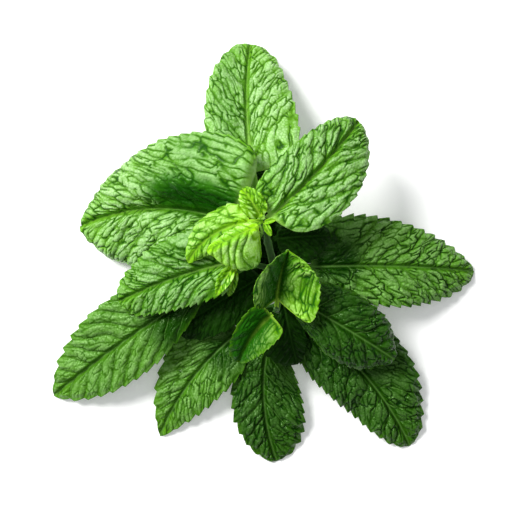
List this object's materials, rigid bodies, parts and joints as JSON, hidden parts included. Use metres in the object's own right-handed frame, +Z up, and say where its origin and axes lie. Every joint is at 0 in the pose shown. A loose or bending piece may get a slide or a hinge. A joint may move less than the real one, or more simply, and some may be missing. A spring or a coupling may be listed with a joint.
{
  "type": "mint sprig",
  "caption": "Cut mint sprig lying on a surface: toothed, wrinkled leaves spread in a rosette around the tip of a short square stem.",
  "frame": {"origin": "bottom centre of the bounding box, on the surface the sprig lies on", "axes": "+Z up, away from the surface; +X towards the long toothed leaf on the right; +Y towards the far leaf; the cut stem end points to -Y"},
  "size_m": [0.1262, 0.1244, 0.0382],
  "materials": {
    "young_leaf": "soft satin, thin living leaf",
    "upper_leaf": "waxy satin, wrinkled living leaf",
    "lower_leaf": "waxy satin, wrinkled living leaf",
    "stem": "satin, finely haired green stem"
  },
  "bodies": {
    "root": {"main_stem": "stem", "left_side_shoot": "stem", "near_side_shoot": "stem", "far_leaf": "upper_leaf", "broad_left_leaf": "upper_leaf", "top_right_leaf": "upper_leaf", "mid_left_leaf": "upper_leaf", "right_leaf": "lower_leaf", "low_right_leaf": "lower_leaf", "short_right_leaf": "lower_leaf", "near_leaf": "lower_leaf", "near_left_leaf": "lower_leaf", "low_left_leaf": "lower_leaf", "shaded_right_leaf": "lower_leaf", "shaded_middle_leaf": "lower_leaf", "shaded_far_leaf": "lower_leaf", "shaded_near_leaf": "lower_leaf", "shaded_back_leaf": "lower_leaf", "young_back_leaf": "young_leaf", "young_hanging_leaf": "young_leaf", "cupped_leaf": "young_leaf", "channel_leaf": "young_leaf", "tuft_leaf_far": "young_leaf", "bud_leaf_left": "young_leaf", "bud_leaf_right": "young_leaf", "top_bud": "young_leaf"}
  },
  "joints": []
}
